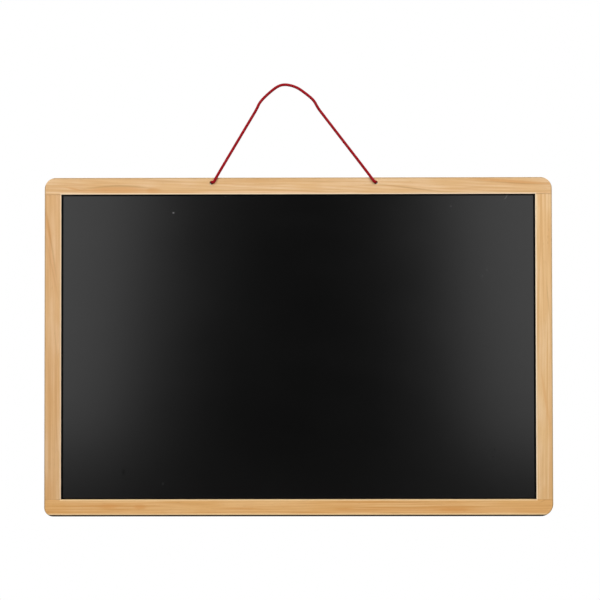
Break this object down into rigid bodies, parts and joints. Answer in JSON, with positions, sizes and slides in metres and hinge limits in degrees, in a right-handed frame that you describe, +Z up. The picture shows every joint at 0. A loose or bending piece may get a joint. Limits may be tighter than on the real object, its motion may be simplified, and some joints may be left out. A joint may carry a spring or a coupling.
{
  "type": "double-sided hanging board",
  "caption": "Rectangular board with a black chalk face in front and a white marker face behind, in a grooved wood frame with rounded corners, hung by a cord loop through the top rail.",
  "frame": {"origin": "underside of the cord where it goes over the peg, the mount hang_point", "axes": "+X to the right along the board's width, +Y through the board towards its white back face, +Z up"},
  "size_m": [0.6, 0.0247, 0.5113],
  "materials": {
    "pine": "sanded, clear satin lacquer",
    "fibreboard": "raw fibreboard",
    "black_coating": "satin black chalk coating on steel",
    "white_coating": "glossy white marker coating on steel",
    "black_strip": "matte black extruded strip",
    "steel": "bright steel",
    "red_cord": "braided red cord"
  },
  "bodies": {
    "hanging_cord": {"hanging_cord": "red_cord"},
    "board": {"top_rail": "pine", "bottom_rail": "pine", "left_stile": "pine", "right_stile": "pine", "core_board": "fibreboard", "chalkboard_sheet": "black_coating", "whiteboard_sheet": "white_coating", "top_edge_strip": "black_strip", "bottom_edge_strip": "black_strip", "left_edge_strip": "black_strip", "right_edge_strip": "black_strip", "top_left_front_brad": "steel", "top_left_back_brad": "steel", "top_right_front_brad": "steel", "top_right_back_brad": "steel", "bottom_left_front_brad": "steel", "bottom_left_back_brad": "steel", "bottom_right_front_brad": "steel", "bottom_right_back_brad": "steel", "left_cord_end": "red_cord", "right_cord_end": "red_cord", "left_knot": "red_cord", "right_knot": "red_cord"}
  },
  "joints": [
    {"name": "board_swing", "type": "hinge", "parent": "hanging_cord", "child": "board", "pos_m": [0.00985, 0, -0.1136], "axis": [-1, 0, 0], "range_deg": [0, 180]}
  ]
}
